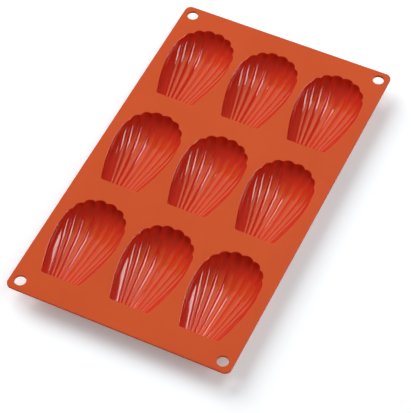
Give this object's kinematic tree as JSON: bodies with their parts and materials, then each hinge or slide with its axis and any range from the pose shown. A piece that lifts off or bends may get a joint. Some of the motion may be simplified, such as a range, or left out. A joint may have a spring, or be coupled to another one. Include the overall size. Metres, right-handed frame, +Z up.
{
  "type": "shell cake mould",
  "caption": "Flat rectangular silicone baking mould with rounded corners, corner holes and a grid of fluted, shell-shaped cavities hanging under the sheet.",
  "frame": {"origin": "on the resting plane, under the middle of the sheet", "axes": "+X to the right across the sheet, +Y along the sheet toward the scalloped ends of the cavities, +Z up out of the cavities"},
  "size_m": [0.175, 0.3, 0.0178],
  "materials": {
    "silicone": "satin"
  },
  "bodies": {
    "root": {"sheet": "silicone", "cup_front_left": "silicone", "cup_front_middle": "silicone", "cup_front_right": "silicone", "cup_centre_left": "silicone", "cup_centre_middle": "silicone", "cup_centre_right": "silicone", "cup_back_left": "silicone", "cup_back_middle": "silicone", "cup_back_right": "silicone"}
  },
  "joints": []
}
